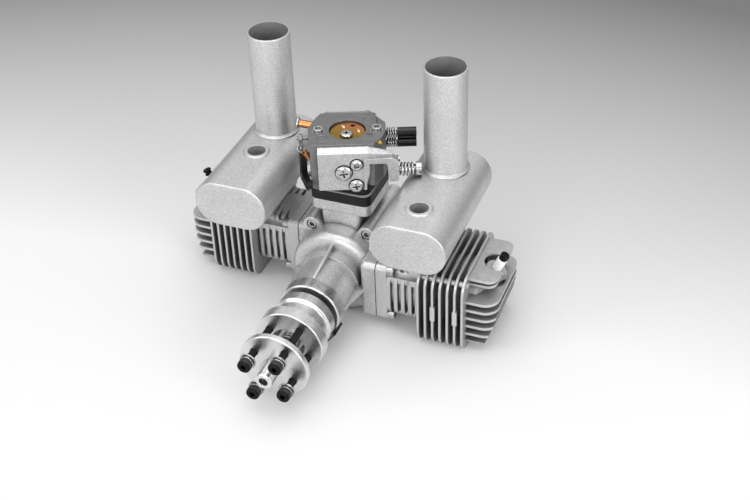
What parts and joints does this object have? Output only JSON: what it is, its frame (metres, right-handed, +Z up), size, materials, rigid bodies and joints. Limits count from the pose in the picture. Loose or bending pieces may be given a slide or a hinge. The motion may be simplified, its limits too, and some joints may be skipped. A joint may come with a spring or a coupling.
{
  "type": "model aircraft engine",
  "caption": "Flat two-cylinder two-stroke petrol engine for model aircraft, with top carburettor, oval silencers with upright tail pipes, and a propeller hub on a long nose.",
  "frame": {"origin": "crank axis where it meets the rear mounting face", "axes": "+X along the right cylinder, +Y from the propeller end to the rear mount, +Z up along the tail pipes"},
  "size_m": [0.1902, 0.1562, 0.1403],
  "materials": {
    "case_cast": "bead-blasted die casting",
    "cylinder_cast": "sand-textured casting with bright fin edges",
    "silencer_satin": "bead-blasted sheet, satin",
    "turned_aluminium": "turned, bright",
    "shaft_steel": "ground steel",
    "screw_steel": "zinc-plated steel",
    "black_steel": "black oxide",
    "bearing_steel": "ground bearing steel",
    "rubber_black": "moulded",
    "gasket_black": "pressed fibre sheet",
    "insulator_black": "moulded phenolic",
    "carb_cast": "grey die casting",
    "cover_cast": "bright die casting",
    "brass": "stamped brass",
    "copper_plate": "drawn tube",
    "black_plastic": "moulded",
    "ceramic_white": "glazed ceramic",
    "reed_carbon": "fibre laminate"
  },
  "bodies": {
    "engine": {"crankcase_front": "case_cast", "crankcase_rear": "case_cast", "bearing_outer_rings": "bearing_steel", "shaft_seal": "rubber_black", "case_screws": "screw_steel", "reed_cage": "insulator_black", "reed_petals": "reed_carbon", "intake_gasket": "gasket_black", "insulator_block": "insulator_black", "insulator_gasket": "gasket_black", "carb_spacer": "insulator_black", "carb_gasket": "gasket_black", "cylinder_right": "cylinder_cast", "cylinder_left": "cylinder_cast", "silencer_right": "silencer_satin", "silencer_left": "silencer_satin", "stack_right": "silencer_satin", "stack_left": "silencer_satin", "base_gaskets": "gasket_black", "base_screws": "screw_steel", "plug_washers": "screw_steel", "plug_shells": "screw_steel", "plug_ceramics": "ceramic_white", "plug_terminals": "black_steel", "exhaust_gaskets": "gasket_black", "exhaust_screws": "black_steel", "carb_body": "carb_cast", "pump_cover": "cover_cast", "metering_cover": "screw_steel", "carb_screws": "screw_steel", "cover_screws": "screw_steel", "needle_springs": "screw_steel", "idle_spring": "screw_steel", "fuel_nipple": "copper_plate", "timing_pickup": "black_plastic"},
    "crank": {"crankshaft": "shaft_steel", "bearing_inner_rings": "bearing_steel", "drive_hub": "turned_aluminium", "hub_nut": "screw_steel", "spinner_stub": "shaft_steel", "prop_bolts": "black_steel", "bolt_washers": "screw_steel"},
    "prop_plate": {"drive_washer": "turned_aluminium"},
    "right_piston": {"piston_right": "turned_aluminium", "piston_rings_right": "shaft_steel", "wrist_pin_right": "shaft_steel"},
    "left_piston": {"piston_left": "turned_aluminium", "piston_rings_left": "shaft_steel", "wrist_pin_left": "shaft_steel"},
    "choke": {"choke_shaft": "shaft_steel", "choke_plate": "brass", "choke_plate_screw": "screw_steel", "choke_lever": "shaft_steel"},
    "throttle": {"throttle_shaft": "shaft_steel", "throttle_plate": "brass", "throttle_lever": "black_plastic", "throttle_arm": "screw_steel"},
    "high_speed_needle": {"high_needle": "black_plastic"},
    "low_speed_needle": {"low_needle": "black_plastic"},
    "idle_stop": {"idle_screw": "screw_steel"}
  },
  "joints": [
    {"name": "crank_spin", "type": "hinge", "parent": "engine", "child": "crank", "pos_m": [0, 0, 0], "axis": [0, 1, 0], "continuous": true},
    {"name": "prop_clamp", "type": "slide", "parent": "crank", "child": "prop_plate", "axis": [0, 1, 0], "range_m": [-0.0065, 0.015]},
    {"name": "right_stroke", "type": "slide", "parent": "engine", "child": "right_piston", "axis": [1, 0, 0], "range_m": [-0.0109, 0.0141]},
    {"name": "left_stroke", "type": "slide", "parent": "engine", "child": "left_piston", "axis": [-1, 0, 0], "range_m": [-0.0109, 0.0141]},
    {"name": "choke_turn", "type": "hinge", "parent": "engine", "child": "choke", "pos_m": [0.00122, -0.03163, 0.074], "axis": [0.9278, 0.373, 0], "range_deg": [0, 65]},
    {"name": "throttle_turn", "type": "hinge", "parent": "engine", "child": "throttle", "pos_m": [-0.0002, -0.0281, 0.0527], "axis": [0.7891, 0.6143, 0], "range_deg": [0, 75]},
    {"name": "high_needle_turn", "type": "hinge", "parent": "engine", "child": "high_speed_needle", "pos_m": [0.01835, -0.01525, 0.0704], "axis": [0.9278, 0.373, 0], "range_deg": [-360, 720]},
    {"name": "low_needle_turn", "type": "hinge", "parent": "engine", "child": "low_speed_needle", "pos_m": [0.01835, -0.01525, 0.0642], "axis": [0.9278, 0.373, 0], "range_deg": [-360, 720]},
    {"name": "idle_turn", "type": "hinge", "parent": "engine", "child": "idle_stop", "pos_m": [0.03119, -0.0338, 0.0612], "axis": [0.9278, 0.373, 0], "range_deg": [-720, 1080]}
  ]
}
